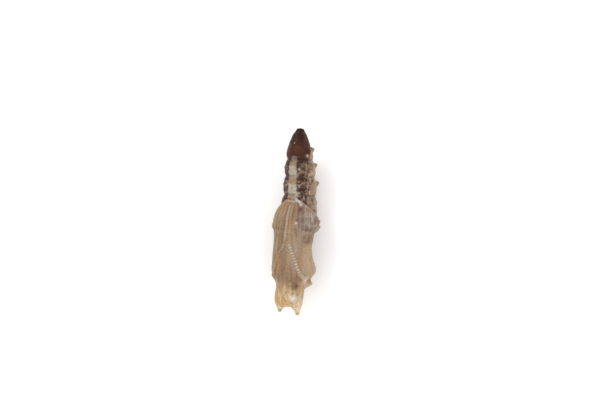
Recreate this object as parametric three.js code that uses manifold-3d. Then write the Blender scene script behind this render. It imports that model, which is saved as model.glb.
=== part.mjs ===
// The chrysalis of a brush-footed butterfly, picked from its plant and lying on a flat surface.
// Millimetres, +Z up. +X runs from the tail to the head, and the origin is on the surface,
// under the middle of the chrysalis.
//
// The shape is described first in the animal's own frame. A station is a distance from the horn
// tips towards the tail. An angle is measured round the body from the middle of the belly: 0 is
// the belly, 90 the flank on the +Y side, 180 the back.
import * as THREE from 'three';
import { mergeVertices } from 'three/addons/utils/BufferGeometryUtils.js';
import Module from 'manifold-3d';

const wasm = await Module();
wasm.setup();

// Driving dimensions
const LENGTH = 25.6;
const HEAD_END = 1.05;
const HEAD_ROUNDING = 0.8;
const TAIL_ROUNDING = 0.2;

// How it lies: rolled off its back until it rests on its bumps, and pitched so that they touch.
const ROLL = 11.08;
const PITCH = 2.83;

// Cross-sections from head to tail: half width, half height, and how far the middle of the
// section is shifted towards the back.
const SECTIONS = [
  { at: 1.05, width: 1.78, height: 1.2, shift: -0.42 },
  { at: 1.6, width: 1.93, height: 1.36, shift: -0.44 },
  { at: 2.3, width: 2.02, height: 1.56, shift: -0.42 },
  { at: 3.1, width: 1.98, height: 1.78, shift: -0.2 },
  { at: 3.8, width: 1.96, height: 2.0, shift: -0.04 },
  { at: 4.5, width: 2.06, height: 2.25, shift: 0.02 },
  { at: 5.1, width: 2.4, height: 2.46, shift: 0.04 },
  { at: 6.4, width: 2.5, height: 2.6, shift: 0.04 },
  { at: 7.8, width: 2.52, height: 2.58, shift: 0 },
  { at: 9.0, width: 2.5, height: 2.52, shift: 0.02 },
  { at: 9.9, width: 2.52, height: 2.5, shift: 0.16 },
  { at: 10.7, width: 2.52, height: 2.54, shift: 0.34 },
  { at: 11.3, width: 2.52, height: 2.62, shift: 0.46 },
  { at: 11.75, width: 2.98, height: 2.84, shift: 0.6 },
  { at: 12.1, width: 3.06, height: 2.88, shift: 0.66 },
  { at: 12.6, width: 2.98, height: 2.9, shift: 0.72 },
  { at: 13.5, width: 2.84, height: 2.84, shift: 0.82 },
  { at: 14.3, width: 2.64, height: 2.7, shift: 1.04 },
  { at: 15.1, width: 2.46, height: 2.54, shift: 1.24 },
  { at: 16.0, width: 2.32, height: 2.42, shift: 1.36 },
  { at: 17.5, width: 2.28, height: 2.36, shift: 1.34 },
  { at: 18.6, width: 2.2, height: 2.26, shift: 1.16 },
  { at: 19.9, width: 2.1, height: 2.12, shift: 0.9 },
  { at: 21.0, width: 1.96, height: 1.96, shift: 0.66 },
  { at: 22.0, width: 1.84, height: 1.82, shift: 0.36 },
  { at: 22.7, width: 1.7, height: 1.66, shift: 0.18 },
  { at: 23.4, width: 1.5, height: 1.44, shift: 0.04 },
  { at: 24.2, width: 1.16, height: 1.12, shift: 0 },
  { at: 24.8, width: 0.92, height: 0.86, shift: 0 },
  { at: 25.1, width: 0.7, height: 0.6, shift: 0 },
  { at: 25.6, width: 0.48, height: 0.4, shift: 0 },
];

// The body widens in a step at the flanks only. Between these stations the step is filled over the
// belly, and the filling fades out between these two angles.
const STEP_FILL = { from: 9.6, to: 12.5, full: 50, none: 84 };

// Joints between the abdomen's rings, the last one shallow. The nearer ones show on the back only.
const RING_JOINTS = [
  { at: 16.45, depth: 0.17 },
  { at: 18.98, depth: 0.17 },
  { at: 21.3, depth: 0.17 },
  { at: 23.2, depth: 0.06 },
];
const RING_GROOVE_WIDTH = 0.36;
const BACK_JOINTS = [3.55, 9.3, 10.5, 11.45, 13.95];
const BACK_GROOVE = { depth: 0.16, width: 0.3, from: 98, to: 125 };

// Swellings and the waist's hollow, the same on both flanks, each smooth in both directions.
const MOUNDS = [
  { name: 'shoulder', at: 6.35, angle: 112, height: 0.62, long: 1.2, round: 19 },
  { name: 'wing hinge', at: 4.35, angle: 116, height: 0.9, long: 0.48, round: 14 },
  { name: 'wing corner', at: 5.25, angle: 72, height: 0.14, long: 0.26, round: 16 },
  { name: 'eye', at: 2.9, angle: 48, height: 0.12, long: 0.7, round: 20 },
  { name: 'waist', at: 9.8, angle: 112, height: -0.16, long: 1.1, round: 22 },
];
const KEEL = { at: 6.7, height: 1.0, headward: 1.5, tailward: 1.25, round: 17 };

// Wing cases, the same on both sides: how far towards the tail they reach at each angle from the
// belly, and the angle of their hind edge at each station.
const WING_REACH = [
  [0, 15.45],
  [10, 15.7],
  [22, 15.75],
  [37, 15.35],
  [60, 14.65],
  [74, 14.3],
  [90, 13.8],
  [104, 13.1],
  [120, 12.6],
];
const HIND_EDGE = [
  [5, 125],
  [7, 122],
  [9, 118],
  [11, 112],
  [12.5, 106],
  [14, 98],
];
const HIND_EDGE_WIDTH = 6;
const WING_START = 4.9;
const WING_POLE = 11;
const WING_THICKNESS = 0.2;
const UNDERLAP = 0.06;

// Antennae, legs and tongue lie as ribs on the belly between the wing cases: [station, angle].
const ANTENNA = {
  path: [[4.05, 98], [4.5, 84], [5.05, 66], [5.7, 47], [6.5, 36], [7.5, 28], [8.5, 19], [9.4, 10],
    [10.5, 6], [12, 4.5], [13.5, 4.2], [14.9, 4.2]],
  thick: 0.27,
  thin: 0.2,
  lift: 0.12,
  beads: 23,
  beadDepth: 0.22,
};
const LEGS = [
  { path: [[3.9, 17], [5.4, 13], [7, 9.5], [9.2, 4]], radius: 0.3 },
  { path: [[4.1, 36], [5.4, 29], [6.8, 21], [8.8, 11]], radius: 0.3 },
];
const TONGUE = { path: [[3.4, 0], [5.5, 0], [8, 0], [10.6, 0]], radius: 0.26 };
const RIB_LIFT = 0.02;
const RIB_END = 0.3;

// Conical warts in rows along the back: stations, angle from the belly, height and foot radius.
const WARTS = [
  { angle: 116, stations: [12.05, 12.8, 15.5, 18.15, 20.6, 22.7], height: 0.42, foot: 0.36 },
  { angle: 146, stations: [9.9, 10.95, 12.7, 15.2, 17.8, 20.2, 22.4], height: 0.52, foot: 0.42 },
  { angle: 180, stations: [15.3, 17.9, 20.3], height: 0.3, foot: 0.32 },
  { angle: 74, stations: [17.8, 20.2], height: 0.14, foot: 0.26 },
];
const WART_ROOT = 0.25;
const WART_WAIST = 0.42;
const WART_LEAN = 0.3;

// Horns of the head, from the foot to the tip. The two differ a little in length.
const HORN = {
  foot: { at: 2.3, side: 1.1, toBelly: 0.42 },
  bend: { at: 1.1, side: 1.2, toBelly: 0.3 },
  tips: [
    { at: 0, side: 1.3, toBelly: 0.16 },
    { at: 0.28, side: -1.3, toBelly: 0.16 },
  ],
  footRadius: 0.78,
  tipRadius: 0.29,
};

// How finely the curved surfaces are faceted
const BODY_MESH = { around: 32, along: 70 };
const WING_MESH = { around: 40, along: 20 };
const END_CROWDING = 0.05;
const RIB_SIDES = 5;
const RIB_STEPS = 8;
const WART_SIDES = 6;
const HORN_MESH = { sides: 8, steps: 6 };

const degrees = THREE.MathUtils.degToRad;
const clamp = THREE.MathUtils.clamp;
const ramp = THREE.MathUtils.smoothstep;
const bell = (distance, width) => Math.exp(-((distance / width) ** 2));

// A smooth curve through [x, y] points with x rising, level beyond them.
function through(points) {
  const last = points.length - 1;
  const slope = (i) => {
    const before = points[Math.max(i - 1, 0)];
    const after = points[Math.min(i + 1, last)];
    return (after[1] - before[1]) / (after[0] - before[0]);
  };
  return (x) => {
    if (x <= points[0][0]) return points[0][1];
    if (x >= points[last][0]) return points[last][1];
    const next = points.findIndex((p) => p[0] > x);
    const [x0, y0] = points[next - 1];
    const [x1, y1] = points[next];
    const span = x1 - x0;
    const t = (x - x0) / span;
    const level = y0 * (1 + 2 * t) * (1 - t) ** 2 + y1 * t * t * (3 - 2 * t);
    return level + span * (slope(next - 1) * t * (1 - t) ** 2 - slope(next) * t * t * (1 - t));
  };
}

const halfWidth = through(SECTIONS.map((s) => [s.at, s.width]));
const halfHeight = through(SECTIONS.map((s) => [s.at, s.height]));
const backShift = through(SECTIONS.map((s) => [s.at, s.shift]));
const wingReach = through(WING_REACH);
const hindEdge = through(HIND_EDGE);

// A turn in degrees as its distance from the belly, 0 to 180.
const fromBelly = (angle) => Math.abs(((angle + 540) % 360) - 180);

// Rounds off both ends of the body: 0 at the end itself, 1 past the rounding.
function endRounding(station) {
  const head = (station - HEAD_END) / HEAD_ROUNDING;
  const tail = (LENGTH - station) / TAIL_ROUNDING;
  const nearest = clamp(Math.min(head, tail), 0, 1);
  return Math.sqrt(1 - (1 - nearest) ** 2);
}

// Radius of the plain oval section.
function ovalRadius(station, angle) {
  const turn = degrees(angle);
  return 1 / Math.hypot(Math.sin(turn) / halfWidth(station), Math.cos(turn) / halfHeight(station));
}

// What makes the belly pass smoothly into the widest part of the wing cases.
function stepFilling(station, angle) {
  const { from, to, full, none } = STEP_FILL;
  if (station < from || station > to) return 0;
  const share = ramp(station, from, to);
  const level = (1 - share) * ovalRadius(from, angle) + share * ovalRadius(to, angle);
  const missing = Math.max(level - ovalRadius(station, angle), 0);
  return missing * (1 - ramp(fromBelly(angle), full, none));
}

// Everything that stands out of or sinks into the plain oval section.
function relief(station, angle) {
  const away = fromBelly(angle);
  let height = stepFilling(station, angle);
  for (const joint of RING_JOINTS) {
    height -= joint.depth * bell(station - joint.at, RING_GROOVE_WIDTH);
  }
  const onBack = ramp(away, BACK_GROOVE.from, BACK_GROOVE.to);
  for (const joint of BACK_JOINTS) {
    height -= BACK_GROOVE.depth * onBack * bell(station - joint, BACK_GROOVE.width);
  }
  for (const mound of MOUNDS) {
    height += mound.height * bell(station - mound.at, mound.long) * bell(away - mound.angle, mound.round);
  }
  const keelLength = station < KEEL.at ? KEEL.headward : KEEL.tailward;
  height += KEEL.height * bell(station - KEEL.at, keelLength) * bell(away - 180, KEEL.round);
  return height;
}

// Distance from the section's middle to the skin.
function skinRadius(station, angle) {
  return (ovalRadius(station, angle) + relief(station, angle)) * endRounding(station);
}

// A point in the animal's frame, with the belly up.
function point(station, angle, radius) {
  const turn = degrees(angle);
  const alongX = LENGTH / 2 - station;
  return new THREE.Vector3(alongX, radius * Math.sin(turn), radius * Math.cos(turn) - backShift(station));
}

const onSkin = (station, angle, lift = 0) => point(station, angle, skinRadius(station, angle) + lift);

// A closed geometry with its corners merged, as a solid that can be joined.
function solid(geometry) {
  geometry.deleteAttribute('normal');
  geometry.deleteAttribute('uv');
  const merged = mergeVertices(geometry, 1e-5);
  const vertProperties = new Float32Array(merged.attributes.position.array);
  const triVerts = new Uint32Array(merged.index.array);
  return new wasm.Manifold(new wasm.Mesh({ numProp: 3, vertProperties, triVerts }));
}

// Moves every corner of a sphere to its place, given its share of the way from head to tail and
// its angle round the body.
function sculpted({ around, along }, place) {
  const geometry = new THREE.SphereGeometry(1, around, along);
  const position = geometry.attributes.position;
  const corner = new THREE.Vector3();
  for (let i = 0; i < position.count; i++) {
    corner.fromBufferAttribute(position, i);
    const share = 1 - Math.acos(clamp(corner.y, -1, 1)) / Math.PI;
    const angle = THREE.MathUtils.radToDeg(Math.atan2(corner.x, corner.z));
    const moved = place(share, angle);
    position.setXYZ(i, moved.x, moved.y, moved.z);
  }
  return solid(geometry);
}

// Bends a capped rod along a curve, with its thickness given along the way.
function rod(curve, radiusAt, sides, steps) {
  const geometry = new THREE.CylinderGeometry(1, 1, 1, sides, steps);
  const frames = curve.computeFrenetFrames(steps, false);
  const position = geometry.attributes.position;
  const corner = new THREE.Vector3();
  for (let i = 0; i < position.count; i++) {
    corner.fromBufferAttribute(position, i);
    const share = clamp(0.5 + corner.y, 0, 1);
    const frame = Math.round(share * steps);
    const radius = radiusAt(share);
    const moved = curve.getPointAt(share)
      .addScaledVector(frames.normals[frame], corner.z * radius)
      .addScaledVector(frames.binormals[frame], corner.x * radius);
    position.setXYZ(i, moved.x, moved.y, moved.z);
  }
  return solid(geometry);
}

function makeBody() {
  const bodyLength = LENGTH - HEAD_END;
  return sculpted(BODY_MESH, (share, angle) => {
    const crowded = share - Math.sin(2 * Math.PI * share) * END_CROWDING;
    return onSkin(HEAD_END + bodyLength * crowded, angle);
  });
}

// One layer over the body that ends in a ledge at the wing tips and sinks in past the wing edge.
function makeWingCases() {
  const closing = 2 / WING_MESH.along;
  return sculpted(WING_MESH, (share, angle) => {
    const away = fromBelly(angle);
    const inner = clamp((share - closing) / (1 - 2 * closing), 0, 1);
    const station = WING_START + (wingReach(away) - WING_START) * inner;
    const rise = (WING_THICKNESS + UNDERLAP) * ramp(inner, 0, 0.12) - UNDERLAP;
    const edge = hindEdge(station);
    const sunk = ramp(away, edge - HIND_EDGE_WIDTH, edge + HIND_EDGE_WIDTH);
    const open = clamp(Math.min(share, 1 - share) / closing, 0, 1);
    const pole = share < 0.5 ? WING_START : WING_POLE;
    const radius = skinRadius(station, angle) + rise - sunk;
    return point(pole + (station - pole) * open, angle, radius * open);
  });
}

function ribCurve(path, side, lift) {
  return new THREE.CatmullRomCurve3(path.map(([station, angle]) => onSkin(station, angle * side, lift)));
}

// Thickness of a rib along its way, as a share of the full one: thin at both ends.
const ribTaper = (share) => RIB_END + (1 - RIB_END) * Math.sin(Math.PI * share) ** 0.5;

function makeAntenna(side) {
  const { path, thick, thin, lift, beads, beadDepth } = ANTENNA;
  const radiusAt = (share) => {
    const waist = 0.5 + 0.5 * Math.cos(2 * Math.PI * beads * share);
    return ribTaper(share) * (thick + (thin - thick) * share) * (1 - beadDepth * waist);
  };
  return rod(ribCurve(path, side, lift), radiusAt, RIB_SIDES, 2 * beads);
}

function makeRib({ path, radius }, side) {
  return rod(ribCurve(path, side, RIB_LIFT), (share) => radius * ribTaper(share), RIB_SIDES, RIB_STEPS);
}

// A wart stands square to the skin and leans a little towards the tail.
function makeWart(station, angle, height, foot) {
  const outline = [
    new THREE.Vector2(0, -WART_ROOT),
    new THREE.Vector2(foot, -WART_ROOT),
    new THREE.Vector2(foot * WART_WAIST, height * WART_WAIST),
    new THREE.Vector2(0, height),
  ];
  const geometry = new THREE.LatheGeometry(outline, WART_SIDES);
  const turn = degrees(angle);
  const lean = new THREE.Vector3(-WART_LEAN, Math.sin(turn), Math.cos(turn)).normalize();
  geometry.applyQuaternion(new THREE.Quaternion().setFromUnitVectors(THREE.Object3D.DEFAULT_UP, lean));
  geometry.translate(...onSkin(station, angle).toArray());
  return solid(geometry);
}

function makeWarts() {
  const warts = [];
  for (const { angle, stations, height, foot } of WARTS) {
    for (const station of stations) {
      warts.push(makeWart(station, angle, height, foot));
      if (angle < 180) warts.push(makeWart(station, -angle, height, foot));
    }
  }
  return warts;
}

function makeHorn(tip) {
  const { foot, bend, footRadius, tipRadius } = HORN;
  const side = Math.sign(tip.side);
  const curve = new THREE.CatmullRomCurve3([
    new THREE.Vector3(LENGTH / 2 - foot.at, side * foot.side, foot.toBelly),
    new THREE.Vector3(LENGTH / 2 - bend.at, side * bend.side, bend.toBelly),
    new THREE.Vector3(LENGTH / 2 - tip.at, tip.side, tip.toBelly),
  ]);
  const taper = (share) => footRadius + (tipRadius - footRadius) * share;
  return rod(curve, taper, HORN_MESH.sides, HORN_MESH.steps);
}

function makeChrysalis() {
  const pieces = [makeWingCases(), makeRib(TONGUE, 1), ...makeWarts(), ...HORN.tips.map(makeHorn)];
  for (const side of [1, -1]) {
    pieces.push(makeAntenna(side), ...LEGS.map((leg) => makeRib(leg, side)));
  }
  return pieces.reduce((whole, piece) => whole.add(piece), makeBody());
}

function toGeometry(manifold) {
  const { vertProperties, triVerts } = manifold.getMesh();
  const geometry = new THREE.BufferGeometry();
  geometry.setAttribute('position', new THREE.BufferAttribute(new Float32Array(vertProperties), 3));
  geometry.setIndex(new THREE.BufferAttribute(new Uint32Array(triVerts), 1));
  return geometry;
}

// Lays the chrysalis down: rolled and pitched, lowest point on the surface, centred on the origin.
function laidDown(geometry) {
  const turn = new THREE.Euler(degrees(ROLL), degrees(PITCH), 0, 'YXZ');
  geometry.applyQuaternion(new THREE.Quaternion().setFromEuler(turn));
  geometry.computeBoundingBox();
  const { min, max } = geometry.boundingBox;
  geometry.translate(-(min.x + max.x) / 2, -(min.y + max.y) / 2, -min.z);
  geometry.computeVertexNormals();
  return geometry;
}

const shell = new THREE.MeshStandardMaterial({ color: 0x9a7d62, roughness: 0.45, metalness: 0 });
const chrysalis = new THREE.Mesh(laidDown(toGeometry(makeChrysalis())), shell);
chrysalis.name = 'chrysalis';

const model = new THREE.Group();
model.add(chrysalis);

export default model;
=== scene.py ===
import math

import bpy
import numpy as np
from mathutils import Matrix, Vector, noise


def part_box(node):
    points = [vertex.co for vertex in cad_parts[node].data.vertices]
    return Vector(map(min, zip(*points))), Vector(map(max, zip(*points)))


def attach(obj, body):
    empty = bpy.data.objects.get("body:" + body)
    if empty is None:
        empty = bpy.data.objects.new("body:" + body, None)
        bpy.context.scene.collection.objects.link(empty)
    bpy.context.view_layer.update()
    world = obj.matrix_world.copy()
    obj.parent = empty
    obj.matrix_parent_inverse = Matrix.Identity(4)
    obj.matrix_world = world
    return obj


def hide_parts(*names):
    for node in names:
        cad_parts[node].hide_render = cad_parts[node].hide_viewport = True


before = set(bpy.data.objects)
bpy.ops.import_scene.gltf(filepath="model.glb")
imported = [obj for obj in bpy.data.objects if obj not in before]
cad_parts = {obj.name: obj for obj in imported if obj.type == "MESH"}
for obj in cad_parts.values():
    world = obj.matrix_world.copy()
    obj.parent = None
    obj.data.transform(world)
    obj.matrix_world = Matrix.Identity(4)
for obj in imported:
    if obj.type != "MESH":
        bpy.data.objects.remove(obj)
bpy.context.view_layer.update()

MM = 0.001

# The solid's driving dimensions
LENGTH = 25.6
HEAD_END = 1.05
HEAD_ROUNDING = 0.8
TAIL_ROUNDING = 0.2
ROLL = 11.08
PITCH = 2.83

# Cross-sections: station, half width, half height, shift of the middle towards the back
SECTIONS = [
    (1.05, 1.78, 1.2, -0.42),
    (1.6, 1.93, 1.36, -0.44),
    (2.3, 2.02, 1.56, -0.42),
    (3.1, 1.98, 1.78, -0.2),
    (3.8, 1.96, 2.0, -0.04),
    (4.5, 2.06, 2.25, 0.02),
    (5.1, 2.4, 2.46, 0.04),
    (6.4, 2.5, 2.6, 0.04),
    (7.8, 2.52, 2.58, 0.0),
    (9.0, 2.5, 2.52, 0.02),
    (9.9, 2.52, 2.5, 0.16),
    (10.7, 2.52, 2.54, 0.34),
    (11.3, 2.52, 2.62, 0.46),
    (11.75, 2.98, 2.84, 0.6),
    (12.1, 3.06, 2.88, 0.66),
    (12.6, 2.98, 2.9, 0.72),
    (13.5, 2.84, 2.84, 0.82),
    (14.3, 2.64, 2.7, 1.04),
    (15.1, 2.46, 2.54, 1.24),
    (16.0, 2.32, 2.42, 1.36),
    (17.5, 2.28, 2.36, 1.34),
    (18.6, 2.2, 2.26, 1.16),
    (19.9, 2.1, 2.12, 0.9),
    (21.0, 1.96, 1.96, 0.66),
    (22.0, 1.84, 1.82, 0.36),
    (22.7, 1.7, 1.66, 0.18),
    (23.4, 1.5, 1.44, 0.04),
    (24.2, 1.16, 1.12, 0.0),
    (24.8, 0.92, 0.86, 0.0),
    (25.1, 0.7, 0.6, 0.0),
    (25.6, 0.48, 0.4, 0.0),
]

# Joints between the abdomen's rings. The last one has only a share of the depth, and no crease.
RING_JOINTS = [16.45, 18.98, 21.3, 23.2]
RING_GROOVE = {"depth": 0.17, "width": 0.36}
LAST_JOINT_SHARE = 0.35
CREASE = {"depth": 0.05, "width": 0.07}

# Joints that show on the back only, fading in between two angles
BACK_JOINTS = [3.55, 9.3, 10.5, 11.45, 13.95]
BACK_GROOVE = {"depth": 0.16, "width": 0.3, "from": 98, "to": 125}

# Stations between which the ringed skin begins
RINGS_BEGIN = (14, 16)

# Fine folds across the rings. How they wander and swell comes from noises of a size and a seed.
WRINKLE = {
    "height": 0.014,
    "spacing": 0.27,
    "wander": 5,
    "wander_noise": (1.6, 12),
    "mean": 0.7,
    "swell": 0.9,
    "swell_noise": (1.2, 13),
}

# Soft unevenness of the whole skin: height, size of its lumps and seed
UNEVENNESS = [(0.035, 1.1, 1), (0.014, 0.35, 2)]

# Mounds and hollows on both flanks: station, angle, height, reach along and reach round
MOUNDS = {
    "shoulder": (6.35, 112, 0.62, 1.2, 19),
    "wing hinge": (4.35, 116, 0.9, 0.48, 14),
    "wing corner": (5.25, 72, 0.14, 0.26, 16),
    "eye": (2.9, 48, 0.12, 0.7, 20),
    "waist": (9.8, 112, -0.16, 1.1, 22),
}
KEEL = {"at": 6.7, "height": 1.0, "headward": 1.5, "tailward": 1.25, "round": 17}

# Wing cases: how far they reach at each angle, and the angle of their hind edge at each station.
# They rise over a root. The outer edge falls off between two distances, the hind edge over an
# angle.
WING_REACH = [(0, 15.45), (10, 15.7), (22, 15.75), (37, 15.35), (60, 14.65), (74, 14.3),
              (90, 13.8), (104, 13.1), (120, 12.6)]
HIND_EDGE = [(5, 125), (7, 122), (9, 118), (11, 112), (12.5, 106), (14, 98)]
WING_START = 4.9
WING_ROOT = 1.2
WING_THICKNESS = 0.2
OUTER_FALL = (-0.06, 0.16)
HIND_FALL = 5.5

# Veins of the wing cases, as paths of station and angle
VEINS = [
    [(5.4, 84), (6.8, 58), (8.4, 43), (10.0, 34), (12.4, 22), (15.2, 15)],
    [(9.6, 37), (11.6, 32), (13.4, 29), (15.3, 27)],
    [(10.4, 42), (12.0, 42), (13.6, 41), (15.0, 40)],
    [(10.3, 55), (12.0, 55), (13.5, 54), (14.7, 53)],
    [(5.6, 102), (7.4, 90), (9.0, 78), (10.6, 70), (12.4, 67), (14.3, 66)],
    [(9.0, 78), (10.6, 79), (12.2, 80), (13.9, 80)],
    [(7.2, 91), (9.0, 92), (11.0, 93), (13.4, 93)],
    [(10.0, 34), (10.4, 42), (10.3, 55), (10.6, 70)],
]
VEIN = {"height": 0.06, "width": 0.1}

# The wing cases step out at the flanks only: over the belly the step is filled between these
# stations, and the filling fades out between these angles.
STEP_FILL = {"from": 9.6, "to": 12.5, "full": 50, "none": 84}

# Sides of the body, as the sign of the angle. The animal's right is at +Y.
BOTH = (1, -1)
RIGHT = (1,)
LEFT = (-1,)

# Antennae, legs and tongue, as paths of station and angle. On bare skin they begin between two
# stations. A path is followed in so many steps for each of its points.
ANTENNA = {
    "path": [(4.05, 98), (4.5, 84), (5.05, 66), (5.7, 47), (6.5, 36), (7.5, 28), (8.5, 19),
             (9.4, 10), (10.5, 6), (12, 4.5), (13.5, 4.2), (14.9, 4.2)],
    "thick": 0.36,
    "thin": 0.16,
    "height": 0.14,
    "beads": 31,
    "bead_depth": 0.42,
}
LEGS = [
    [(3.9, 17), (5.4, 13), (7, 9.5), (9.2, 4)],
    [(4.1, 36), (5.4, 29), (6.8, 21), (8.8, 11)],
]
TONGUE = [(3.4, 0), (5.5, 0), (8, 0), (10.6, 0)]
LEG = {"height": 0.08, "width": 0.3, "end_share": 0.3}
RIBS_BEGIN = (3, 5)
STOPS_PER_KNOT = 8

# Warts in rows on the back, and low bumps on the flanks and belly: angle, stations, height and
# foot radius. They lean towards the tail, with a blunt tip, sides that flare and a foot that runs
# out. One of full height is fully coloured.
WARTS = [
    (116, [12.05, 12.8, 18.15, 20.6, 22.7], 0.42, 0.48),
    (116, [15.5], 0.12, 0.4),
    (146, [9.9, 10.95, 12.7, 15.2, 17.8, 20.2, 22.4], 0.56, 0.58),
    (180, [15.3, 17.9, 20.3], 0.32, 0.42),
    (74, [17.8, 20.2], 0.14, 0.34),
    (52, [17.6, 19.9, 21.9], 0.05, 0.24),
    (27, [17.55, 19.94, 21.9], 0.04, 0.2),
]
WART_LEAN = 0.55
WART_TIP = 0.16
WART_FLARE = 1.7
WART_SLOPE = (-0.25, 1.05)
WART_FOOT = (0, 0.3)
FULL_WART = 0.42

# Horns: the foot in the front of the head, and the two tips, as station, side and towards the
# belly. They flare towards the foot and end in a dome, which takes a share of the foot's radius.
HORN_FOOT = {"side": 1.22, "to_belly": 0.3, "radius": 0.84}
HORN_TIPS = [(0.0, 1.3, 0.16), (0.28, -1.3, 0.16)]
HORN_TIP_RADIUS = 0.29
HORN_FLARE = 1.25
HORN_DOME = 0.3

# How the surface is divided, and how many cells make up what a hollow is measured against, for the
# painted shade in hollows and painted highlights on crests
HEAD_ROWS = 58
BODY_ROWS = 334
TAIL_ROWS = 9
COLUMNS = 228
HOLLOW_REACH = 5

# Pale blocks in the middle of the belly: first and last station, and strength
BELLY_BLOCKS = [(16.3, 17.95, 0.85), (18.8, 20.4, 0.8), (20.95, 21.6, 0.34)]

# The abdomen's pattern is turned by an angle, which it reaches between two stations
MARK_TWIST = -9
TWIST_BEGINS = (15.2, 16.2)

# Zones of the colours, each as the two stations or angles between which it begins or ends. On the
# back the tail begins later, by the setback.
ABDOMEN_BEGINS = (12.5, 14.5)
FLANK_BEGINS = (15, 24)
FLANK_FADES = (60, 95)
SADDLE = {"angles": (112, 135), "begins": (3, 4.5), "ends": (13, 15)}
TAIL_BEGINS = (20.6, 21.5)
TAIL_TOWARDS_BACK = (62, 100)
TAIL_SETBACK = 1.9
# Painted sheen: a lit patch on the right wing case, painted paler and with fainter veins
WING_SHEEN = {"angles": (38, 58), "ends": (9.4, 10.6)}
FLUSHED_WING = {"angles": (10, 36), "begins": (9.8, 12.4)}
HEAD_ENDS = (3.2, 5.2)

# Noises that the colours share: size of their lumps and seed
BLOTCH = (0.9, 3)
SPECK = (0.36, 4)
FLECK = (0.16, 5)
MOTTLE = (0.62, 10)
GRAIN = (0.3, 11)
SQUIGGLE = (0.8, 6)
CRACK = (0.7, 7)

# Factors on the places of three of them, along the body, sideways and up. Less than 1 draws out.
GRAIN_SHAPE = [0.4, 1, 1]
SQUIGGLE_SHAPE = [1, 1.7, 1.7]
CRACK_SHAPE = [1.8, 1, 1]

# Streaks of the wing cases: how far they are drawn out, size of their lumps and seed
STREAK = (6, 0.34, 8)
WIDE_STREAK = (5, 0.8, 9)


def srgb(*levels):
    """A colour given as on a screen, 0 to 255, as linear light."""
    shares = np.array(levels) / 255
    return np.where(shares <= 0.04045, shares / 12.92, ((shares + 0.055) / 1.055) ** 2.4)


SHADES = {
    "tip": srgb(44, 18, 13),
    "tail": srgb(60, 28, 21),
    "soot": srgb(46, 23, 17),
    "umber": srgb(64, 37, 30),
    "brown": srgb(116, 87, 67),
    "rust": srgb(140, 84, 52),
    "tan": srgb(152, 124, 98),
    "buff": srgb(168, 142, 116),
    "hazel": srgb(139, 110, 89),
    "light": srgb(186, 160, 130),
    "fawn": srgb(144, 117, 88),
    "sand": srgb(178, 152, 124),
    "olive": srgb(140, 122, 86),
    "amber": srgb(176, 130, 78),
    "mauve": srgb(128, 107, 99),
    "wheat": srgb(187, 159, 121),
    "honey": srgb(195, 159, 106),
    "orange": srgb(214, 134, 70),
    "cream": srgb(222, 202, 172),
    "stone": srgb(176, 158, 140),
    "grey": srgb(150, 144, 134),
    "pale": srgb(186, 172, 156),
    "white": srgb(190, 184, 172),
    "red": srgb(98, 56, 46),
    "pearl": srgb(226, 222, 220),
}

# Breathing holes in the flanks of the rings, each a dark slit in a pale rim
HOLE_STATIONS = [15.05, 17.35, 19.75, 21.95]
HOLE_ANGLE = 88
HOLE_STRENGTH = 0.85
HOLE_PARTS = [("sand", 0.26, 0.17), ("soot", 0.15, 0.06)]

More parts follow.
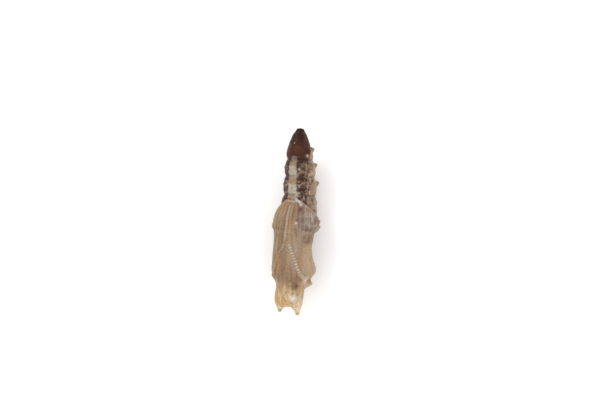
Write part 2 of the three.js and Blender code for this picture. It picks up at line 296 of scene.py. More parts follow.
# Single marks: station, angle, half length, half width, shade, strength, sides
MARKS = [
    (19.94, 26, 0.12, 0.14, "pearl", 0.95, RIGHT),
    (19.94, 26, 0.1, 0.1, "pale", 0.6, LEFT),
    (17.6, 26, 0.12, 0.14, "pale", 0.8, BOTH),
    (18.2, 24, 0.13, 0.22, "buff", 0.8, BOTH),
    (16.72, 27, 0.12, 0.2, "buff", 0.85, BOTH),
    (21.83, 64, 0.18, 0.2, "cream", 0.9, BOTH),
    (16.14, 37, 0.28, 0.2, "soot", 0.95, BOTH),
    (16.2, 51, 0.28, 0.24, "soot", 0.95, BOTH),
    (16.07, 44, 0.24, 0.07, "pale", 0.9, BOTH),
    (18.66, 38, 0.26, 0.3, "soot", 0.85, BOTH),
    (18.66, 52, 0.2, 0.2, "soot", 0.7, BOTH),
    (21.0, 40, 0.22, 0.26, "soot", 0.7, BOTH),
    (20.4, 35, 0.7, 0.5, "soot", 0.7, BOTH),
    (16.4, 19, 0.3, 0.26, "pale", 0.8, RIGHT),
    (17.8, 27, 0.06, 0.34, "pale", 0.7, BOTH),
    (20.3, 36, 0.06, 0.3, "pale", 0.5, BOTH),
    (21.1, 10, 0.1, 0.12, "tail", 0.9, BOTH),
    (23.49, 2, 0.07, 0.07, "pearl", 0.8, LEFT),
    (21.6, 8, 0.05, 0.5, "pale", 0.5, RIGHT),
    (15.56, 3, 0.1, 0.5, "pale", 0.8, BOTH),
    (14.2, 6, 0.75, 0.55, "mauve", 0.2, RIGHT),
    (15.82, 17, 0.2, 0.18, "pearl", 0.85, RIGHT),
    (15.45, 21, 0.18, 0.14, "pearl", 0.8, RIGHT),
    (15.12, 26.5, 0.2, 0.15, "pearl", 0.8, RIGHT),
    (15.2, 18, 0.16, 0.14, "umber", 0.7, RIGHT),
    (14.5, 26, 0.42, 0.3, "red", 0.9, RIGHT),
    (14.34, 49.6, 0.34, 0.1, "orange", 0.5, BOTH),
    (13.9, 61, 0.9, 0.09, "pale", 0.75, BOTH),
    (13.2, 63, 0.4, 0.08, "pearl", 0.5, BOTH),
    (12.6, 19.8, 0.15, 0.15, "pearl", 0.85, RIGHT),
    (13.02, 21.6, 0.14, 0.16, "umber", 0.8, RIGHT),
    (10.24, 61.7, 0.55, 0.42, "red", 0.6, BOTH),
    (9.16, 35.3, 1.1, 0.08, "pale", 0.75, LEFT),
    (4.3, 17.3, 0.42, 0.44, "brown", 0.55, RIGHT),
    (4.3, 17.3, 0.22, 0.22, "light", 0.8, RIGHT),
    (4.3, 36, 0.7, 0.5, "brown", 0.5, RIGHT),
    (4.0, 44, 0.34, 0.24, "umber", 0.7, RIGHT),
    (3.7, 30, 0.3, 0.2, "umber", 0.5, RIGHT),
    (2.34, 36.3, 0.36, 0.36, "pearl", 0.85, RIGHT),
    (2.8, 24, 0.4, 0.14, "cream", 0.7, RIGHT),
    (2.54, 66.6, 0.4, 0.3, "white", 0.7, BOTH),
    (4.38, 61.6, 0.4, 0.2, "amber", 0.8, BOTH),
    (4.88, 72, 0.3, 0.3, "amber", 0.3, BOTH),
    (5.0, 79, 0.5, 0.45, "cream", 0.6, RIGHT),
    (4.3, 116, 0.3, 0.3, "cream", 0.6, BOTH),
    (10.4, 146, 0.3, 0.34, "pearl", 0.6, BOTH),
] + [
    (station, HOLE_ANGLE, along, around, shade, HOLE_STRENGTH, BOTH)
    for station in HOLE_STATIONS
    for shade, along, around in HOLE_PARTS
]


def through(points):
    """A smooth curve through [x, y] points with x rising, level beyond them."""
    xs, ys = np.array(points, float).T
    inner = (ys[2:] - ys[:-2]) / (xs[2:] - xs[:-2])
    ends = np.diff(ys)[[0, -1]] / np.diff(xs)[[0, -1]]
    slopes = np.concatenate([ends[:1], inner, ends[1:]])

    def curve(x):
        x = np.clip(x, xs[0], xs[-1])
        i = np.clip(np.searchsorted(xs, x, side="right") - 1, 0, len(xs) - 2)
        span = xs[i + 1] - xs[i]
        t = (x - xs[i]) / span
        level = ys[i] * (1 + 2 * t) * (1 - t) ** 2 + ys[i + 1] * t * t * (3 - 2 * t)
        bend = slopes[i] * t * (1 - t) ** 2 - slopes[i + 1] * t * t * (1 - t)
        return level + span * bend

    return curve


half_width = through([(s[0], s[1]) for s in SECTIONS])
half_height = through([(s[0], s[2]) for s in SECTIONS])
back_shift = through([(s[0], s[3]) for s in SECTIONS])
wing_reach = through(WING_REACH)
hind_edge = through(HIND_EDGE)


def bell(distance, width):
    """1 at no distance, and falling off smoothly over the width."""
    return np.exp(-((distance / width) ** 2))


def ramp(value, low, high):
    """0 up to low and 1 from high on, smooth in between."""
    t = np.clip((value - low) / (high - low), 0, 1)
    return t * t * (3 - 2 * t)


def oval_radius(station, angle):
    """How far the plain oval section reaches from its middle."""
    turn = np.radians(angle)
    return 1 / np.hypot(np.sin(turn) / half_width(station), np.cos(turn) / half_height(station))


def body_relief(station, away):
    """The solid's own relief: ring joints, mounds and keel."""
    height = np.zeros_like(station)
    for joint in RING_JOINTS:
        share = LAST_JOINT_SHARE if joint == RING_JOINTS[-1] else 1
        height -= share * RING_GROOVE["depth"] * bell(station - joint, RING_GROOVE["width"])
    on_back = ramp(away, BACK_GROOVE["from"], BACK_GROOVE["to"])
    for joint in BACK_JOINTS:
        height -= BACK_GROOVE["depth"] * on_back * bell(station - joint, BACK_GROOVE["width"])
    for at, angle, tall, along, around in MOUNDS.values():
        height += tall * bell(station - at, along) * bell(away - angle, around)
    length = np.where(station < KEEL["at"], KEEL["headward"], KEEL["tailward"])
    height += KEEL["height"] * bell(station - KEEL["at"], length) * bell(away - 180, KEEL["round"])
    return height


def step_filling(grid):
    """What makes the belly side pass smoothly into the widest part of the wing cases."""
    start, end = STEP_FILL["from"], STEP_FILL["to"]
    share = ramp(grid.station, start, end)
    level = (1 - share) * oval_radius(start, grid.angle) + share * oval_radius(end, grid.angle)
    missing = np.maximum(level - grid.oval, 0)
    inside = (grid.station > start) & (grid.station < end)
    fade = 1 - ramp(grid.away, STEP_FILL["full"], STEP_FILL["none"])
    return missing * inside * fade


def to_points(station, angle, radius):
    """Places in the animal's frame, with the belly up and the head at +X."""
    turn = np.radians(angle)
    x = LENGTH / 2 - station
    return np.stack([x, radius * np.sin(turn), radius * np.cos(turn) - back_shift(station)], -1)


class Grid:
    """Rows from the brow to the tail tip, each a closed ring of columns."""

    def __init__(self):
        brow = np.linspace(0, math.pi / 2, HEAD_ROWS)
        end = np.linspace(math.pi / 2, 0, TAIL_ROWS)
        body = np.linspace(HEAD_END + HEAD_ROUNDING, LENGTH - TAIL_ROUNDING, BODY_ROWS)
        rows = np.concatenate([
            HEAD_END + HEAD_ROUNDING * (1 - np.cos(brow[1:-1])),
            body,
            LENGTH - TAIL_ROUNDING * (1 - np.cos(end[1:-1])),
        ])
        fullness = np.concatenate([np.sin(brow[1:-1]), np.ones(BODY_ROWS), np.sin(end[1:-1])])
        angles = np.arange(COLUMNS) * 360 / COLUMNS - 180
        self.station, self.angle = np.meshgrid(rows, angles, indexing="ij")
        self.fullness = np.broadcast_to(fullness[:, None], self.station.shape)
        self.away = np.abs(self.angle)
        self.oval = oval_radius(self.station, self.angle)


def nearest_on_path(grid, path, side):
    """How far each grid point is from a path on the skin, and its share of the path's length."""
    stations, angles = np.array(path, float).T
    knots = np.linspace(0, 1, len(path))
    fine = np.linspace(0, 1, STOPS_PER_KNOT * len(path))
    stops = np.stack([through(list(zip(knots, stations)))(fine),
                      through(list(zip(knots, angles)))(fine) * side], -1)
    around = np.radians(1) * oval_radius(stops[:, 0], stops[:, 1])
    steps = np.hypot(np.diff(stops[:, 0]), np.diff(stops[:, 1]) * around[1:])
    travelled = np.concatenate([[0], np.cumsum(steps)])
    best = np.full(grid.station.shape, np.inf)
    share = np.zeros(grid.station.shape)
    scale = np.radians(1) * grid.oval
    for i in range(len(stops) - 1):
        along = stops[i + 1, 0] - stops[i, 0]
        across = (stops[i + 1, 1] - stops[i, 1]) * scale
        ds = grid.station - stops[i, 0]
        da = (grid.angle - stops[i, 1]) * scale
        t = np.clip((ds * along + da * across) / (along ** 2 + across ** 2), 0, 1)
        distance = np.hypot(ds - t * along, da - t * across)
        closer = distance < best
        best = np.where(closer, distance, best)
        here = (travelled[i] + t * steps[i]) / travelled[-1]
        share = np.where(closer, here, share)
    return best, share


def wing_cases(grid):
    """Height of the wing cases over the skin, 0 where there are none."""
    outer = ramp(wing_reach(grid.away) - grid.station, *OUTER_FALL)
    edge = hind_edge(grid.station)
    hind = 1 - ramp(grid.away, edge - HIND_FALL, edge)
    root = ramp(grid.station, WING_START, WING_START + WING_ROOT)
    return outer * hind * root


def ridge(distance, half, height):
    """The height of a rounded ridge at a distance from its middle line."""
    return height * np.sqrt(np.clip(1 - (distance / half) ** 2, 0, 1))


def belly_ribs(grid):
    """Heights of antennae, legs and tongue, and how far each antenna is and its beads stand out."""
    height = np.zeros_like(grid.station)
    bead = np.zeros_like(grid.station)
    near = np.full(grid.station.shape, np.inf)
    for path in [TONGUE] + LEGS:
        for side in BOTH:
            distance, share = nearest_on_path(grid, path, side)
            middle = np.sqrt(np.sin(np.pi * np.clip(share, 0.001, 0.999)))
            thin = LEG["end_share"] + (1 - LEG["end_share"]) * middle
            rib = ridge(distance, LEG["width"] * thin, LEG["height"] * thin)
            height = np.maximum(height, rib)
    for side in BOTH:
        distance, share = nearest_on_path(grid, ANTENNA["path"], side)
        half = ANTENNA["thick"] + (ANTENNA["thin"] - ANTENNA["thick"]) * share
        swell = 0.5 - 0.5 * np.cos(2 * np.pi * ANTENNA["beads"] * share)
        tall = ANTENNA["height"] * (1 - ANTENNA["bead_depth"] * (1 - swell))
        rib = ridge(distance, half, tall)
        bead = np.where(rib > height, swell * np.clip(1 - distance / half, 0, 1), bead)
        height = np.maximum(height, rib)
        near = np.minimum(near, distance / half)
    return height, bead, near


def wing_veins(grid):
    """0 away from the veins, 1 on them."""
    vein = np.zeros_like(grid.station)
    for path in VEINS:
        for side in BOTH:
            distance, _ = nearest_on_path(grid, path, side)
            vein = np.maximum(vein, bell(distance, VEIN["width"]))
    return vein


def lumps(points, size, seed):
    """Soft random unevenness, about -1 to 1, with lumps of the given size."""
    shift = Vector((seed * 17.3, seed * 5.9, seed * 11.1))
    flat = points.reshape(-1, 3) / size
    values = [noise.noise(Vector(p) + shift) for p in flat]
    return np.array(values).reshape(points.shape[:-1])


def blurred(field, reach):
    """The mean of a field over a square of cells, which closes round the body."""
    total = sum(np.roll(field, k, axis=1) for k in range(-reach, reach + 1)) / (2 * reach + 1)
    edged = np.pad(total, ((reach, reach), (0, 0)), mode="edge")
    rows = field.shape[0]
    return sum(edged[k:k + rows] for k in range(2 * reach + 1)) / (2 * reach + 1)


def raise_warts(points, grid):
    """Pulls the skin out into warts; returns the new points and how near each is to a tip."""
    tip = np.zeros_like(grid.station)
    moved = points.copy()
    for angle, stations, height, foot in WARTS:
        for station in stations:
            for side in (BOTH if angle < 180 else RIGHT):
                turn = math.radians(angle * side)
                row = int(np.argmin(np.abs(grid.station[:, 0] - station)))
                gap = np.abs((grid.angle[0] - angle * side + 180) % 360 - 180)
                centre = points[row, int(np.argmin(gap))]
                lean = np.array([-WART_LEAN, math.sin(turn), math.cos(turn)])
                lean /= np.linalg.norm(lean)
                reach = np.linalg.norm(points - centre, axis=-1) / foot
                cone = np.clip(1 - np.hypot(reach, WART_TIP) + WART_TIP, 0, 1)
                shape = ramp(cone, *WART_SLOPE) ** WART_FLARE * ramp(cone, *WART_FOOT)
                moved += (height * shape)[..., None] * lean
                tip = np.maximum(tip, shape * min(1, height / FULL_WART))
    return moved, tip


def raise_horns(points):
    """Draws two cones forward out of the brow; returns the new points and their share of a horn."""
    moved = points.copy()
    share = np.zeros(points.shape[:-1])
    for station, side, to_belly in HORN_TIPS:
        tip = np.array([LENGTH / 2 - station, side, to_belly])
        foot = np.array([math.copysign(HORN_FOOT["side"], side), HORN_FOOT["to_belly"]])
        spread = points[..., 1:] - foot
        reach = np.linalg.norm(spread, axis=-1) / HORN_FOOT["radius"]
        front = points[..., 0] > LENGTH / 2 - HEAD_END - HEAD_ROUNDING
        taken = (reach < 1) & front
        climb = np.clip((1 - reach) / (1 - HORN_DOME), 0, 1)
        wide = HORN_TIP_RADIUS + (HORN_FOOT["radius"] - HORN_TIP_RADIUS) * (1 - climb) ** HORN_FLARE
        dome = np.clip(reach / HORN_DOME, 0, 1)
        wide = np.where(climb < 1, wide, HORN_TIP_RADIUS * np.sin(dome * np.pi / 2))
        cap = np.where(climb < 1, 0, HORN_TIP_RADIUS * np.cos(dome * np.pi / 2))
        axis = foot + (tip[1:] - foot) * climb[..., None]
        outward = spread / np.maximum(np.linalg.norm(spread, axis=-1), 1e-6)[..., None]
        x = points[..., 0] + (tip[0] - HORN_TIP_RADIUS - points[..., 0]) * climb + cap
        horn = np.concatenate([x[..., None], axis + outward * wide[..., None]], -1)
        moved = np.where(taken[..., None], horn, moved)
        share = np.where(taken, climb, share)
    return moved, share


def sculpt():
    """All points of the skin in the animal's frame, and what the colours need to know of them."""
    grid = Grid()
    wing = wing_cases(grid)
    vein = wing_veins(grid) * wing
    ribs, bead, antenna = belly_ribs(grid)
    height = body_relief(grid.station, grid.away) + step_filling(grid)
    height += WING_THICKNESS * wing + VEIN["height"] * vein
    height += np.where(wing > 0.5, 1, ramp(grid.station, *RIBS_BEGIN)) * ribs
    for joint in RING_JOINTS[:-1]:
        height -= CREASE["depth"] * bell(grid.station - joint, CREASE["width"])
    plain = to_points(grid.station, grid.angle, grid.oval * grid.fullness)
    wander = WRINKLE["wander"] * lumps(plain, *WRINKLE["wander_noise"])
    wrinkles = np.sin(2 * np.pi * grid.station / WRINKLE["spacing"] + wander)
    swell = WRINKLE["swell"] * lumps(plain, *WRINKLE["swell_noise"])
    wrinkles = wrinkles * (WRINKLE["mean"] + swell)
    height += WRINKLE["height"] * wrinkles * (1 - wing) * ramp(grid.station, *RINGS_BEGIN)
    height += sum(tall * lumps(plain, size, seed) for tall, size, seed in UNEVENNESS)
    points = to_points(grid.station, grid.angle, (grid.oval + height) * grid.fullness)
    points, wart = raise_warts(points, grid)
    points, horn = raise_horns(points)
    marks = {
        "wing": wing,
        "vein": vein,
        "bead": bead,
        "antenna": antenna,
        "wart": wart,
        "horn": horn,
        # How far each point lies below its surroundings, which the painted shade in hollows and
        # painted highlights on crests go by
        "hollow": blurred(height, HOLLOW_REACH) - height,
        "plain": plain,
    }
    return grid, points, marks


def laid_down(points):
    """Rolls and pitches the animal as it lies, and sets it where the solid is, in metres."""
    roll = Matrix.Rotation(math.radians(ROLL), 3, "X")
    turn = np.array(Matrix.Rotation(math.radians(PITCH), 3, "Y") @ roll)
    turned = points @ turn.T * MM
    low, high = turned.reshape(-1, 3).min(0), turned.reshape(-1, 3).max(0)
    solid_low, solid_high = (np.array(c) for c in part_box("chrysalis"))
    move = (solid_low + solid_high - low - high) / 2
    move[2] = solid_low[2] - low[2]
    return turned + move, turn, move


class Coat:
    """The colour of every point, laid on wash by wash, and the fields that the washes go by.

    A wash has a share of 0 to 1 at each point: where it lies, by station, angle or noise, times
    its strength. An angle is in the turned pattern, and "away" is its size on either side.
    """

    def __init__(self, grid, marks):
        plain = marks["plain"]
        self.grid = grid
        self.marks = marks
        self.plain = plain
        self.station = grid.station
        self.wing = marks["wing"]
        self.bare = 1 - self.wing
        twist = MARK_TWIST * ramp(grid.station, *TWIST_BEGINS)
        self.turned = grid.angle - twist * self.bare
        self.away = np.abs(self.turned)
        self.across = np.radians(1) * grid.oval
        self.blotch = lumps(plain, *BLOTCH)
        self.speck = lumps(plain, *SPECK)
        self.fleck = lumps(plain, *FLECK)
        self.mottle = lumps(plain, *MOTTLE)
        self.grain = lumps(plain * GRAIN_SHAPE, *GRAIN)
        self.colour = np.broadcast_to(SHADES["tan"], grid.station.shape + (3,)).copy()

    def lay(self, shade, share):
        """A wash of one shade, as strong at each point as the share there, 0 to 1."""
        self.colour += (SHADES[shade] - self.colour) * np.clip(share, 0, 1)[..., None]

    def streaks(self, stretch, size, seed):
        """Soft random streaks along the body."""
        station = self.station
        places = np.stack([station / stretch, self.turned * self.across, 0 * station], -1)
        return lumps(places, size, seed)


def paint_abdomen(coat):
    """The rings from belly to back: tan, dark bands, speckled flanks with painted glints, painted
    shade on the left.
    """
    lay, station, turned, away, bare = coat.lay, coat.station, coat.turned, coat.away, coat.bare
    blotch, speck, mottle, grain = coat.blotch, coat.speck, coat.mottle, coat.grain
    abdomen = bare * ramp(station, *ABDOMEN_BEGINS)
    lay("buff", abdomen)
    lay("tan", abdomen * (1 - ramp(away, 12, 24)) * 0.9)
    lay("umber", abdomen * ramp(away, 13, 18) * (1 - ramp(away + 6 * blotch, 50, 62)))
    lay("hazel", abdomen * ramp(away + 8 * blotch, 46, 60) * (1 - ramp(away, 84, 104)))
    lay("buff", abdomen * ramp(away, 80, 100))
    lay("brown", abdomen * ramp(away + 10 * blotch, 135, 160) * 0.7)
    lay("umber", abdomen * ramp(away + 4 * blotch, 166, 176) * 0.6)

    flank = abdomen * ramp(away, *FLANK_BEGINS)
    near_belly = 1 - ramp(away, *FLANK_FADES)
    dark_share = 0.95 - 0.65 * ramp(away, 50, 72)
    lay("soot", flank * ramp(mottle + 0.4 * speck, 0.06, 0.3) * dark_share)
    lay("buff", flank * ramp(-mottle + 0.5 * speck, 0.16, 0.42) * ramp(turned, -20, 10) * 0.6)
    lay("umber", flank * ramp(grain, 0.08, 0.35) * bell(away - 62, 40) * 0.55)
    lay("sand", flank * ramp(-grain, 0.14, 0.4) * ramp(away, 40, 60) * 0.6)
    winding = lumps(coat.plain * SQUIGGLE_SHAPE, *SQUIGGLE)
    squiggle = bell(winding + 0.14 * coat.fleck, 0.06)
    lay("pale", squiggle * abdomen * bell(away - 66, 28) * (0.3 + 0.5 * ramp(speck, -0.1, 0.2)))
    # Painted glints: pale flecks on the flanks towards the belly
    lay("pale", flank * ramp(coat.fleck, 0.34, 0.46) * near_belly * 0.45)
    crack = bell(lumps(coat.plain * CRACK_SHAPE, *CRACK), 0.05)
    lay("soot", crack * flank * 0.5 * near_belly)
    # Painted shade: a dark band along the left flank only, where the body turns away towards its
    # edge
    lay("soot", flank * bell(turned + 46, 20) * (0.6 + 0.25 * bell(station - 15.7, 0.8)))

    for joint in RING_JOINTS[:-1]:
        line = bell(station - joint + 0.06 * speck, 0.08)
        lay("umber", abdomen * line * (0.4 - 0.22 * ramp(away, 40, 75)))
        broken = ramp(mottle + 0.4 * speck, -0.1, 0.25) * ramp(away, 14, 18)
        lay("pale", bare * bell(station - joint + 0.2 + 0.08 * blotch, 0.06) * broken * 0.4)


def paint_saddle(coat):
    """The keel and the bare back between the wing cases."""
    lay, station, away, bare = coat.lay, coat.station, coat.away, coat.bare
    mottle, grain = coat.mottle, coat.grain
    back = ramp(away, *SADDLE["angles"]) * (1 - ramp(station, *SADDLE["ends"]))
    back = back * ramp(station, *SADDLE["begins"])
    crest = bell(away - 180, 7) * ramp(station, 5, 6) * (1 - ramp(station, 8, 9))
    lay("hazel", back * bare * 0.8)
    lay("umber", back * bare * ramp(mottle + 0.5 * grain, 0.1, 0.4) * 0.45)
    lay("sand", back * bare * ramp(-mottle + 0.5 * grain, 0.12, 0.4) * 0.55)
    lay("sand", bare * crest * 0.8)
    for joint in BACK_JOINTS:
        lay("umber", back * bare * bell(station - joint, 0.09) * 0.5)


def paint_tail(coat):
    """The dark tail, which reaches furthest forward on the belly."""
    lay, station, away = coat.lay, coat.station, coat.away
    blotch, speck = coat.blotch, coat.speck
    setback = TAIL_SETBACK * ramp(away, *TAIL_TOWARDS_BACK)
    dark = ramp(station + 0.25 * blotch - setback, *TAIL_BEGINS)
    lay("tail", dark * coat.bare * 0.97)
    lay("tip", ramp(station + 0.2 * speck, 23.1, 24.3))
    lay("tip", dark * ramp(coat.mottle + 0.4 * speck, 0.05, 0.4) * 0.5)
    lay("rust", bell(away - 72 + 8 * blotch, 11) * ramp(station + speck, 22.6, 24.2) * 0.26)
    lay("rust", dark * bell(station - 22.6, 0.7) * bell(away - 30, 25) * 0.2)
    lay("tip", ramp(station, 24.9, 25.3) * 0.8)


def paint_belly_blocks(coat):
    """The pale blocks in the middle of the belly, ragged and a little flared."""
    lay, station, turned, away = coat.lay, coat.station, coat.turned, coat.away
    blotch, speck = coat.blotch, coat.speck
    ragged = station + 0.3 * speck + 0.12 * coat.fleck
    for start, end, strength in BELLY_BLOCKS:
        inside = ramp(ragged, start - 0.14, start + 0.26)
        inside = inside * (1 - ramp(ragged, end - 0.3, end + 0.2))
        inside = inside * coat.bare * strength * (0.95 - 0.3 * ramp(coat.mottle, 0, 0.4))
        flare = (5 + 6 * ramp(turned, 0, 10)) * (end - station) / (end - start)
        width = 1 - ramp(away + 6 * blotch + 8 * speck - flare, 7.5, 17)
        lay("white", inside * width)
        lay("grey", inside * bell(away + 1.5 * blotch, 2.4) * 0.7)
        lay("grey", inside * width * ramp(speck, -0.15, 0.35) * 0.6)


def paint_wing_cases(coat):
    """Streaks, veins and margins of the wing cases, with a mauve flush, a painted sheen and a
    painted shadow.
    """
    lay, station, away, wing = coat.lay, coat.station, coat.away, coat.wing
    blotch, speck, mottle = coat.blotch, coat.speck, coat.mottle
    angle, vein = coat.grid.angle, coat.marks["vein"]
    lay("fawn", wing)
    streak = coat.streaks(*STREAK)
    wide = coat.streaks(*WIDE_STREAK)
    # Painted sheen: smooth is the lit patch of the right wing case, where it is painted paler and
    # its veins fainter
    smooth = ramp(angle, *WING_SHEEN["angles"]) * (1 - ramp(station, *WING_SHEEN["ends"]))
    lay("olive", wing * ramp(wide, -0.05, 0.4) * 0.75)
    lay("olive", wing * bell(station - 13, 2.2) * bell(angle + 42, 20) * 0.45)
    lay("fawn", wing * bell(station - 9, 2) * bell(angle + 22, 18) * 0.6)
    lay("amber", wing * ramp(-wide, 0.05, 0.45) * 0.4)
    lay("brown", wing * ramp(streak, 0.08, 0.4) * (0.4 - 0.3 * smooth))
    lay("sand", wing * ramp(-streak, 0.1, 0.42) * 0.4)
    lay("stone", wing * bell(station - 8.6, 2.0) * bell(angle - 20, 20) * 0.75)
    # Painted sheen: the lit patch painted paler
    lay("light", wing * smooth * 0.62)
    lay("brown", wing * bell(station - 8.4, 1.3) * bell(angle - 1, 7) * 0.35)

    behind = ramp(station + 0.5 * blotch, *FLUSHED_WING["begins"])
    flushed = wing * ramp(angle + 10 * blotch, *FLUSHED_WING["angles"]) * behind
    lay("mauve", flushed * (0.85 - 0.45 * ramp(away, *FLANK_FADES)))
    lay("grey", flushed * bell(station - 13.4, 1.1) * bell(away - 46, 14) * 0.45)
    lay("pale", flushed * ramp(-mottle, 0.05, 0.3) * 0.4)
    lay("brown", flushed * ramp(mottle, 0.1, 0.35) * 0.4)

    lay("grey", vein * 0.42 * (1 - 0.45 * smooth))
    lay("brown", wing * bell(vein - 0.45, 0.2) * (0.32 - 0.18 * smooth))
    lay("pale", flushed * vein * ramp(-mottle, -0.1, 0.3) * 0.3)

    margin = wing_reach(coat.grid.away) - station
    lay("brown", wing * bell(margin - 0.9, 0.22) * ramp(speck, -0.2, 0.3) * 0.35)
    lay("sand", wing * bell(margin - 0.06, 0.09) * 0.6)
    # Painted shadow: a dark line on the bare skin just past the wing cases' outer edge, where they
    # step down
    lay("umber", coat.bare * bell(margin + 0.12, 0.1) * (1 - ramp(coat.grid.away, 15, 70)) * 0.5)


def paint_head(coat):
    """The head: honey on the left, cream on the right, dusky where it meets the wing cases."""
    lay, station, turned, away = coat.lay, coat.station, coat.turned, coat.away
    blotch, speck, mottle, grain = coat.blotch, coat.speck, coat.mottle, coat.grain
    head = 1 - ramp(station, *HEAD_ENDS)
    rightward = coat.plain[..., 1] + 0.25 * blotch
    brow = 1 - ramp(station + 0.4 * blotch, 1.6, 3.4)
    lay("wheat", head)
    lay("honey", brow * (1 - ramp(rightward, 0.5, 1.3)) * 0.85)
    lay("cream", (1 - ramp(station, 1.4, 2.6)) * ramp(rightward, 0.8, 1.6) * 0.8)
    lay("brown", head * ramp(mottle, 0.15, 0.5) * ramp(station, 1.6, 3) * 0.35)
    lay("amber", head * ramp(grain, 0.1, 0.4) * 0.35)
    lay("cream", head * ramp(-grain, 0.15, 0.4) * 0.45)
    ridge_line = bell((station - 0.8) - (75 - turned) * 0.036, 0.1) * ramp(turned, 6, 14)
    lay("cream", ridge_line * head * (1 - ramp(turned, 70, 80)) * 0.75)
    cheek = bell(away - 92, 16) * ramp(station, 1.4, 2.2) * (1 - ramp(station, 4.4, 5.2))
    lay("amber", cheek * 0.4)
    both_sides = bell(turned - 36, 24) + 0.3 * bell(turned + 20, 24)
    dusk = bell(station - 4.2 + 0.5 * blotch, 0.95) * both_sides
    lay("brown", dusk * ramp(mottle + 0.3 * speck, -0.35, 0.25) * 0.42)
    lay("red", dusk * ramp(speck - 0.3 * mottle, 0.0, 0.3) * 0.5)


def paint_belly_ribs(coat):
    """Painted shade in hollows, painted highlights on crests, and antennae painted as lit on the
    right.
    """
    lay, station, speck = coat.lay, coat.station, coat.speck
    angle, bead, hollow = coat.grid.angle, coat.marks["bead"], coat.marks["hollow"]
    on_rings = coat.bare * ramp(station, *RINGS_BEGIN)
    # Painted shade in the hollows of the relief, and painted highlights on its crests, faint on the
    # rings
    lay("umber", ramp(hollow, 0.008, 0.06) * 0.3)
    lay("sand", ramp(-hollow, 0.012, 0.06) * (1 - 0.9 * on_rings) * 0.25)
    # The antennae are painted as lit, the right one fully: paler, with painted shade in the dips
    # between the beads and painted highlights on the bead crests
    on_antenna = 1 - ramp(coat.marks["antenna"], 0.75, 1.05)
    right = angle > 0
    lit = on_antenna * (0.35 + 0.65 * right) * (1 - 0.8 * ramp(station, 9.2, 10.2))
    lay("stone", lit * (0.35 + 0.45 * right))
    lay("stone", on_antenna * ramp(station, 10, 11) * (angle < 0) * 0.7)
    between = 1 - ramp(bead, 0.05, 0.4)
    lay("brown", lit * between * ramp(station, 4, 6) * (0.4 + 0.3 * speck))
    uneven = ramp(coat.mottle + 0.6 * speck, -0.16, 0.2)
    lay("white", lit * ramp(bead, 0.14, 0.55) * uneven * 0.85)


def paint_single_marks(coat):
    """Marks at places of their own."""
    for station, angle, along, around, shade, strength, sides in MARKS:
        for side in sides:
            aside = (coat.turned - angle * side) * coat.across / around
            off = np.hypot((coat.station - station) / along, aside)
            coat.lay(shade, strength * bell(off + 0.25 * coat.speck, 1))


def paint_warts_and_horns(coat):
    """Amber towards the tips, with a dark ring round the foot of each wart."""
    lay, wart, horn = coat.lay, coat.marks["wart"], coat.marks["horn"]
    lay("tan", ramp(wart, 0.08, 0.4) * 0.85)
    lay("amber", ramp(wart, 0.3, 0.9) * 0.45)
    lay("orange", ramp(wart, 0.75, 1.05) * 0.22)
    lay("umber", bell(wart - 0.07, 0.05) * ramp(wart, 0, 0.05) * 0.45)
    lay("honey", horn * 0.15)
    lay("cream", bell(horn - 0.6, 0.36) * ramp(horn, 0, 0.3) * 0.9)
    lay("amber", ramp(horn + 0.3 * coat.speck, 0.6, 1.1) * 0.4)


def paint(grid, marks):
    """The colour of every point. Later washes lie over earlier ones."""
    coat = Coat(grid, marks)
    paint_abdomen(coat)
    paint_saddle(coat)
    paint_tail(coat)
    paint_belly_blocks(coat)
    paint_wing_cases(coat)
    paint_head(coat)
    paint_belly_ribs(coat)
    paint_single_marks(coat)
    paint_warts_and_horns(coat)
    return coat.colour


# The skin's material. A noise has a scale and a detail, and is fitted to the span low to high.
TONE = "tone"
NOISE_SPAN = (0.32, 0.68)
SHADE_GRAIN = {"scale": 4200, "detail": 5, "low": 0.68, "high": 0.93}
ROUGHNESS = {"scale": 3800, "detail": 3, "low": 0.34, "high": 0.56}
BUMP = {"scale": 6500, "detail": 6, "pits": 5200, "strength": 0.55, "depth": 0.04}
SHADER = {
    "Specular IOR Level": 0.18,
    "Specular Tint": (1.0, 0.82, 0.7, 1),
    "Subsurface Weight": 0.12,
    "Subsurface Radius": (1.0, 0.6, 0.35),
    "Subsurface Scale": 0.3 * MM,
}


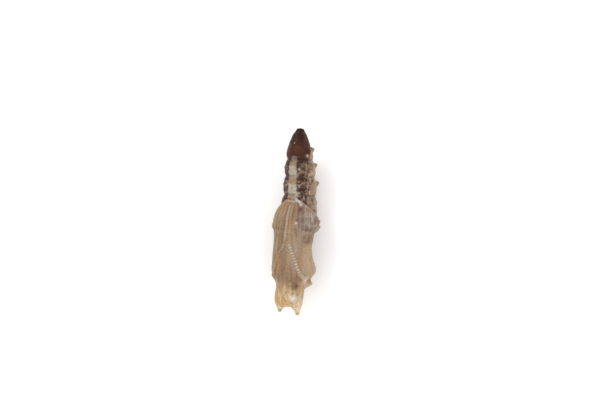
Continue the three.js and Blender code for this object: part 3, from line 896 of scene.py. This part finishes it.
def skin_material():
    """Waxy, finely pitted chitin over the painted tones."""
    material = bpy.data.materials.new("shell")
    material.use_nodes = True
    nodes, links = material.node_tree.nodes, material.node_tree.links
    shader = nodes["Principled BSDF"]
    place = nodes.new("ShaderNodeTexCoord")

    def noise_of(look):
        node = nodes.new("ShaderNodeTexNoise")
        node.inputs["Scale"].default_value = look["scale"]
        node.inputs["Detail"].default_value = look["detail"]
        links.new(place.outputs["Object"], node.inputs["Vector"])
        return node.outputs["Fac"]

    def fitted(look):
        value = noise_of(look)
        node = nodes.new("ShaderNodeMapRange")
        node.inputs["From Min"].default_value = NOISE_SPAN[0]
        node.inputs["From Max"].default_value = NOISE_SPAN[1]
        node.inputs["To Min"].default_value = look["low"]
        node.inputs["To Max"].default_value = look["high"]
        links.new(value, node.inputs["Value"])
        return node.outputs["Result"]

    tone = nodes.new("ShaderNodeAttribute")
    tone.attribute_name = TONE
    grain = nodes.new("ShaderNodeVectorMath")
    grain.operation = "SCALE"
    links.new(tone.outputs["Color"], grain.inputs[0])
    links.new(fitted(SHADE_GRAIN), grain.inputs["Scale"])
    links.new(grain.outputs["Vector"], shader.inputs["Base Color"])
    links.new(fitted(ROUGHNESS), shader.inputs["Roughness"])

    pits = nodes.new("ShaderNodeTexVoronoi")
    pits.inputs["Scale"].default_value = BUMP["pits"]
    links.new(place.outputs["Object"], pits.inputs["Vector"])
    pitted = nodes.new("ShaderNodeMath")
    pitted.operation = "ADD"
    links.new(noise_of(BUMP), pitted.inputs[0])
    links.new(pits.outputs["Distance"], pitted.inputs[1])
    bump = nodes.new("ShaderNodeBump")
    bump.inputs["Strength"].default_value = BUMP["strength"]
    bump.inputs["Distance"].default_value = BUMP["depth"] * MM
    links.new(pitted.outputs["Value"], bump.inputs["Height"])
    links.new(bump.outputs["Normal"], shader.inputs["Normal"])

    for socket, value in SHADER.items():
        shader.inputs[socket].default_value = value
    return material


def make_mesh(name, points, colours):
    """A closed skin from rows of points, with one point at each end."""
    rows, columns = points.shape[:2]
    brow, tail = points[0].mean(0), points[-1].mean(0)
    places = np.concatenate([points.reshape(-1, 3), [brow, tail]])
    index = np.arange(rows * columns).reshape(rows, columns)
    beside = np.roll(index, -1, axis=1)
    quads = np.stack([index[:-1], beside[:-1], beside[1:], index[1:]], -1).reshape(-1, 4)
    first, last = rows * columns, rows * columns + 1
    caps = [(first, b, a) for a, b in zip(index[0], beside[0])]
    caps += [(last, a, b) for a, b in zip(index[-1], beside[-1])]
    mesh = bpy.data.meshes.new(name)
    faces = quads.tolist() + [tuple(map(int, cap)) for cap in caps]
    mesh.from_pydata(places.tolist(), [], faces)
    mesh.polygons.foreach_set("use_smooth", np.ones(len(mesh.polygons), bool))
    layer = mesh.attributes.new(TONE, "FLOAT_COLOR", "POINT")
    end_shades = [colours[0].mean(0), colours[-1].mean(0)]
    shades = np.concatenate([colours.reshape(-1, 3), end_shades])
    layer.data.foreach_set("color", np.column_stack([shades, np.ones(len(shades))]).ravel())
    mesh.update()
    return mesh


def make_chrysalis():
    """The one piece. Returns how the animal was turned and moved, for the camera."""
    grid, points, marks = sculpt()
    placed, turn, move = laid_down(points)
    mesh = make_mesh("chrysalis", placed, paint(grid, marks))
    piece = bpy.data.objects.new("chrysalis_skin", mesh)
    bpy.context.collection.objects.link(piece)
    mesh.materials.append(skin_material())
    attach(piece, "root")
    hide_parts("chrysalis")
    return turn, move


# The camera sees the animal as the photograph does: from an angle round the body, with the body
# leaning in the picture, and the first horn's tip at a place in the 612 by 408 pixel frame.
# PIXEL is how many millimetres of the animal one pixel shows.
VIEW_ANGLE = 20
VIEW_LEAN = 3.6
PICTURE_WIDTH_PX = 612
PICTURE_HEIGHT_PX = 408
HORN_TIP_PX = (297.2, 315.5)
PIXEL = 0.1366
LENS = 100
SENSOR = 36
NEAREST = 0.01
FURTHEST = 10

# The studio, in metres and watts: a pale floor, a white world and four soft square lamps, each
# with its name, place, size and power
FLOOR_HALF = 2.0
FLOOR_SHADE = 0.97
FLOOR_ROUGHNESS = 0.9
WORLD_STRENGTH = 0.9
LAMPS = [
    ("key", (-0.18, -0.17, 0.2), 0.13, 0.4),
    ("fill", (0.16, 0.2, 0.16), 0.18, 0.3),
    ("head side", (0.22, -0.16, 0.17), 0.16, 0.1),
    ("tail side", (-0.2, 0.18, 0.17), 0.16, 0.1),
]


def make_camera(turn, move):
    """Sets up the camera by the directions of the animal, as it was turned and moved."""
    along = turn @ np.array([1.0, 0, 0])
    angle = math.radians(VIEW_ANGLE)
    towards = turn @ np.array([0, math.sin(angle), math.cos(angle)])
    across = np.cross(towards, along)
    lean = math.radians(VIEW_LEAN)
    right = math.cos(lean) * across - math.sin(lean) * along
    down = math.cos(lean) * along + math.sin(lean) * across
    station, side, to_belly = HORN_TIPS[0]
    tip = turn @ np.array([LENGTH / 2 - station, side, to_belly]) * MM + move
    off_x = (HORN_TIP_PX[0] - PICTURE_WIDTH_PX / 2) * PIXEL * MM
    off_y = (HORN_TIP_PX[1] - PICTURE_HEIGHT_PX / 2) * PIXEL * MM
    target = tip - right * off_x - down * off_y
    distance = PICTURE_WIDTH_PX * PIXEL * MM * LENS / SENSOR
    data = bpy.data.cameras.new("camera")
    data.lens = LENS
    data.sensor_width = SENSOR
    data.clip_start = NEAREST
    data.clip_end = FURTHEST
    camera = bpy.data.objects.new("camera", data)
    bpy.context.collection.objects.link(camera)
    place = target + towards * distance
    camera.matrix_world = Matrix((
        (right[0], -down[0], towards[0], place[0]),
        (right[1], -down[1], towards[1], place[1]),
        (right[2], -down[2], towards[2], place[2]),
        (0, 0, 0, 1),
    ))
    bpy.context.scene.camera = camera


def make_floor():
    """A wide pale floor, which isn't part of the object."""
    half = FLOOR_HALF
    mesh = bpy.data.meshes.new("floor")
    corners = [(-half, -half, 0), (half, -half, 0), (half, half, 0), (-half, half, 0)]
    mesh.from_pydata(corners, [], [(0, 1, 2, 3)])
    material = bpy.data.materials.new("floor")
    material.use_nodes = True
    shader = material.node_tree.nodes["Principled BSDF"]
    shader.inputs["Base Color"].default_value = (FLOOR_SHADE, FLOOR_SHADE, FLOOR_SHADE, 1)
    shader.inputs["Roughness"].default_value = FLOOR_ROUGHNESS
    mesh.materials.append(material)
    floor = bpy.data.objects.new("floor", mesh)
    bpy.context.collection.objects.link(floor)


def make_lamp(name, place, size, power):
    """A soft square lamp that points at the middle of the floor."""
    data = bpy.data.lights.new(name, "AREA")
    data.shape = "SQUARE"
    data.size = size
    data.energy = power
    lamp = bpy.data.objects.new(name, data)
    lamp.location = place
    lamp.rotation_euler = (-Vector(place)).to_track_quat("-Z", "Y").to_euler()
    bpy.context.collection.objects.link(lamp)


def make_world():
    """Even white light from all round."""
    world = bpy.data.worlds.new("studio")
    world.use_nodes = True
    background = world.node_tree.nodes["Background"]
    background.inputs["Color"].default_value = (1, 1, 1, 1)
    background.inputs["Strength"].default_value = WORLD_STRENGTH
    bpy.context.scene.world = world


bpy.context.scene.view_settings.view_transform = "Standard"
turn, move = make_chrysalis()
make_camera(turn, move)
make_floor()
for lamp in LAMPS:
    make_lamp(*lamp)
make_world()
